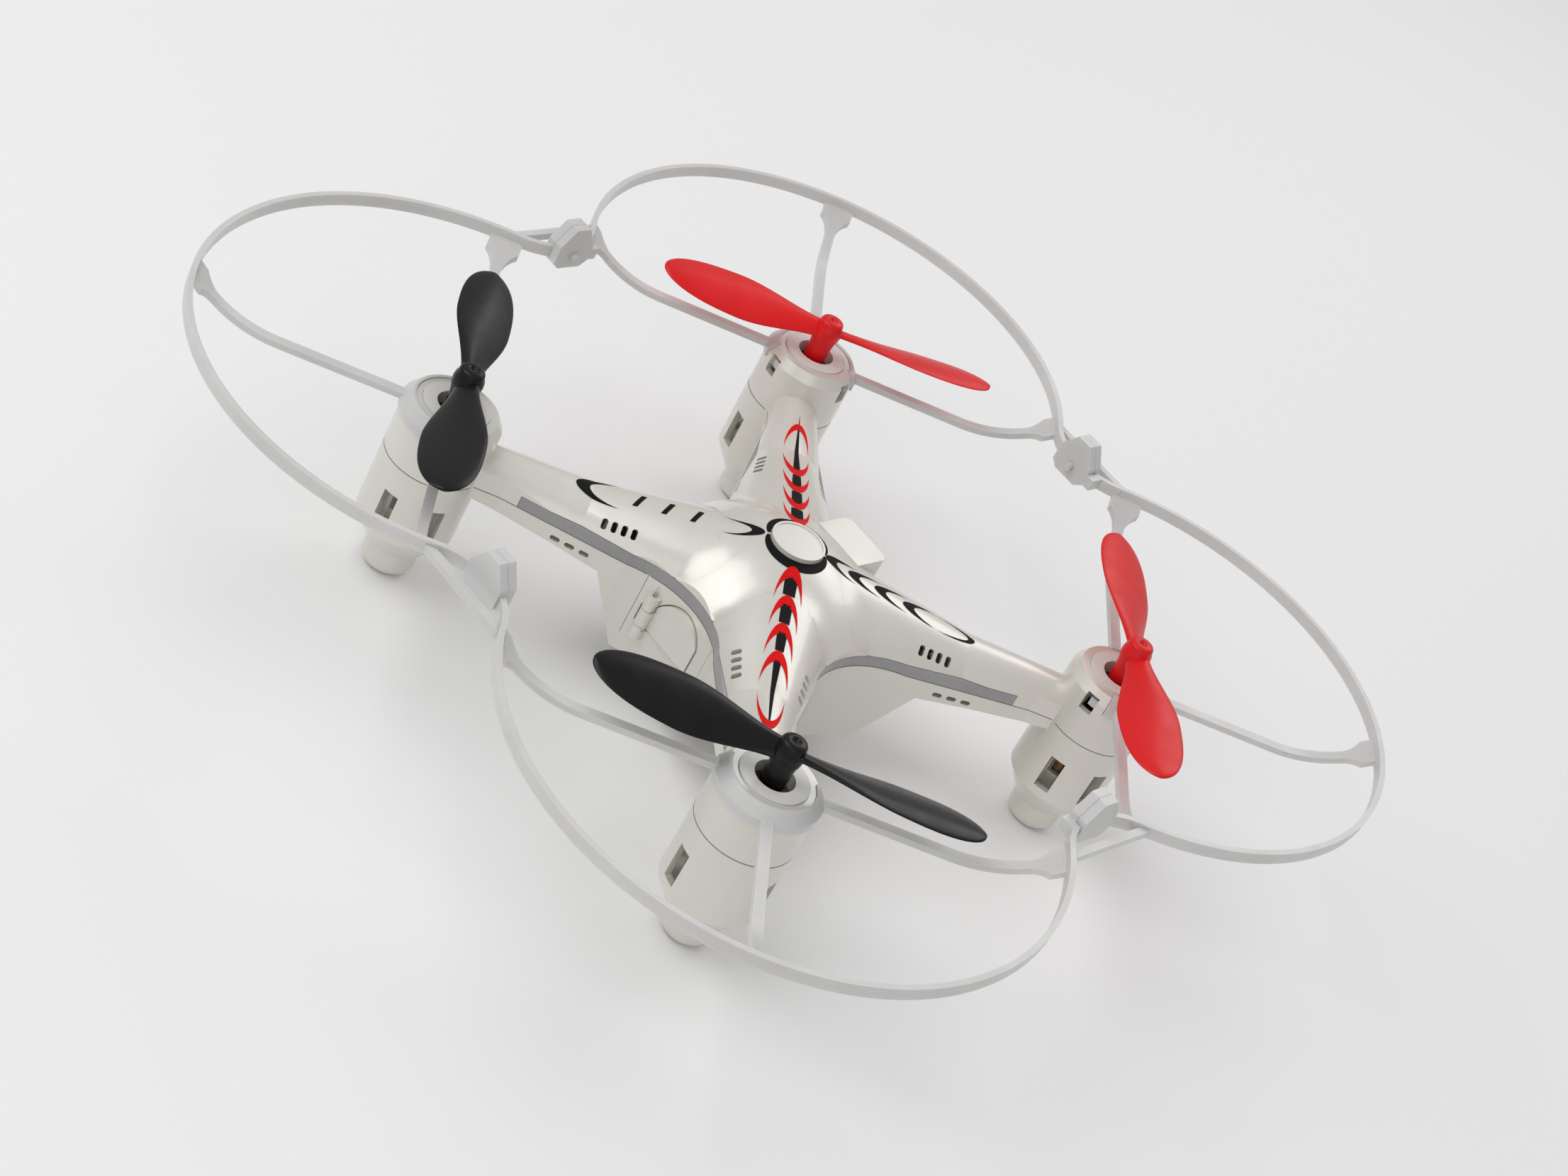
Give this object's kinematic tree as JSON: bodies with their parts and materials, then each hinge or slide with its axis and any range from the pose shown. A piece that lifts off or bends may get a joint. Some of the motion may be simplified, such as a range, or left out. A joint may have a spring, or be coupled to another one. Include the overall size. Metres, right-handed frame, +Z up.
{
  "type": "remote control helicopter",
  "caption": "Small four-rotor remote control aircraft with ring guards, a cross-shaped body, two-bladed propellers on brushed motors, a belly power switch and a charging door.",
  "frame": {"origin": "on the ground under the middle of the aircraft, between the four feet", "axes": "X forwards through the nose block, Y to the aircraft's left, Z up along the rotor axes"},
  "size_m": [0.1846, 0.1846, 0.0473],
  "materials": {
    "shell": "pearl ivory moulded shell",
    "guard": "translucent grey-white moulding",
    "strip": "smoky grey light strip",
    "prop_red": "bright red moulding",
    "prop_black": "black moulding",
    "motor": "brown-gold motor can",
    "steel": "bright steel",
    "cell": "blue film sleeve",
    "board": "green circuit board",
    "plug": "white connector",
    "wire": "red insulation",
    "switch": "black switch",
    "lamp": "clear lamp"
  },
  "bodies": {
    "airframe": {"upper_shell": "shell", "lower_shell": "shell", "rear_panel": "shell", "bottom_cover": "shell", "crown_disc": "shell", "light_strip_front": "strip", "light_strip_left": "strip", "light_strip_rear": "strip", "light_strip_right": "strip", "motor_cap_fl": "shell", "motor_cap_rl": "shell", "motor_cap_rr": "shell", "motor_cap_fr": "shell", "motor_can_fl": "motor", "motor_can_rl": "motor", "motor_can_rr": "motor", "motor_can_fr": "motor", "end_bell_fl": "plug", "end_bell_rl": "plug", "end_bell_rr": "plug", "end_bell_fr": "plug", "prop_guard_fl": "guard", "prop_guard_rl": "guard", "prop_guard_rr": "guard", "prop_guard_fr": "guard", "guard_brace_front": "guard", "guard_brace_left": "guard", "guard_brace_rear": "guard", "guard_brace_right": "guard", "door_pin": "steel", "battery_pack": "cell", "battery_plug": "plug", "circuit_board": "board", "indicator_lamps": "lamp", "motor_leads": "wire", "power_switch": "switch", "case_screws": "steel"},
    "rotor_fl": {"motor_shaft_fl": "steel", "propeller_fl": "prop_red"},
    "rotor_rl": {"motor_shaft_rl": "steel", "propeller_rl": "prop_black"},
    "rotor_rr": {"motor_shaft_rr": "steel", "propeller_rr": "prop_black"},
    "rotor_fr": {"motor_shaft_fr": "steel", "propeller_fr": "prop_red"},
    "charge_door": {"charge_door": "shell"},
    "switch_slider": {"switch_slider": "switch"}
  },
  "joints": [
    {"name": "rotor_fl_spin", "type": "hinge", "parent": "airframe", "child": "rotor_fl", "pos_m": [0.044, 0.044, 0.0412], "axis": [0, 0, -1], "continuous": true},
    {"name": "rotor_rl_spin", "type": "hinge", "parent": "airframe", "child": "rotor_rl", "pos_m": [-0.044, 0.044, 0.0412], "axis": [0, 0, 1], "continuous": true},
    {"name": "rotor_rr_spin", "type": "hinge", "parent": "airframe", "child": "rotor_rr", "pos_m": [-0.044, -0.044, 0.0412], "axis": [0, 0, -1], "continuous": true},
    {"name": "rotor_fr_spin", "type": "hinge", "parent": "airframe", "child": "rotor_fr", "pos_m": [0.044, -0.044, 0.0412], "axis": [0, 0, 1], "continuous": true},
    {"name": "charge_door_hinge", "type": "hinge", "parent": "airframe", "child": "charge_door", "pos_m": [-0.0209, 0.0066, 0.0163], "axis": [0, 0, -1], "range_deg": [0, 100]},
    {"name": "power_switch_slide", "type": "slide", "parent": "airframe", "child": "switch_slider", "axis": [1, 0, 0], "range_m": [0, 0.002]}
  ]
}
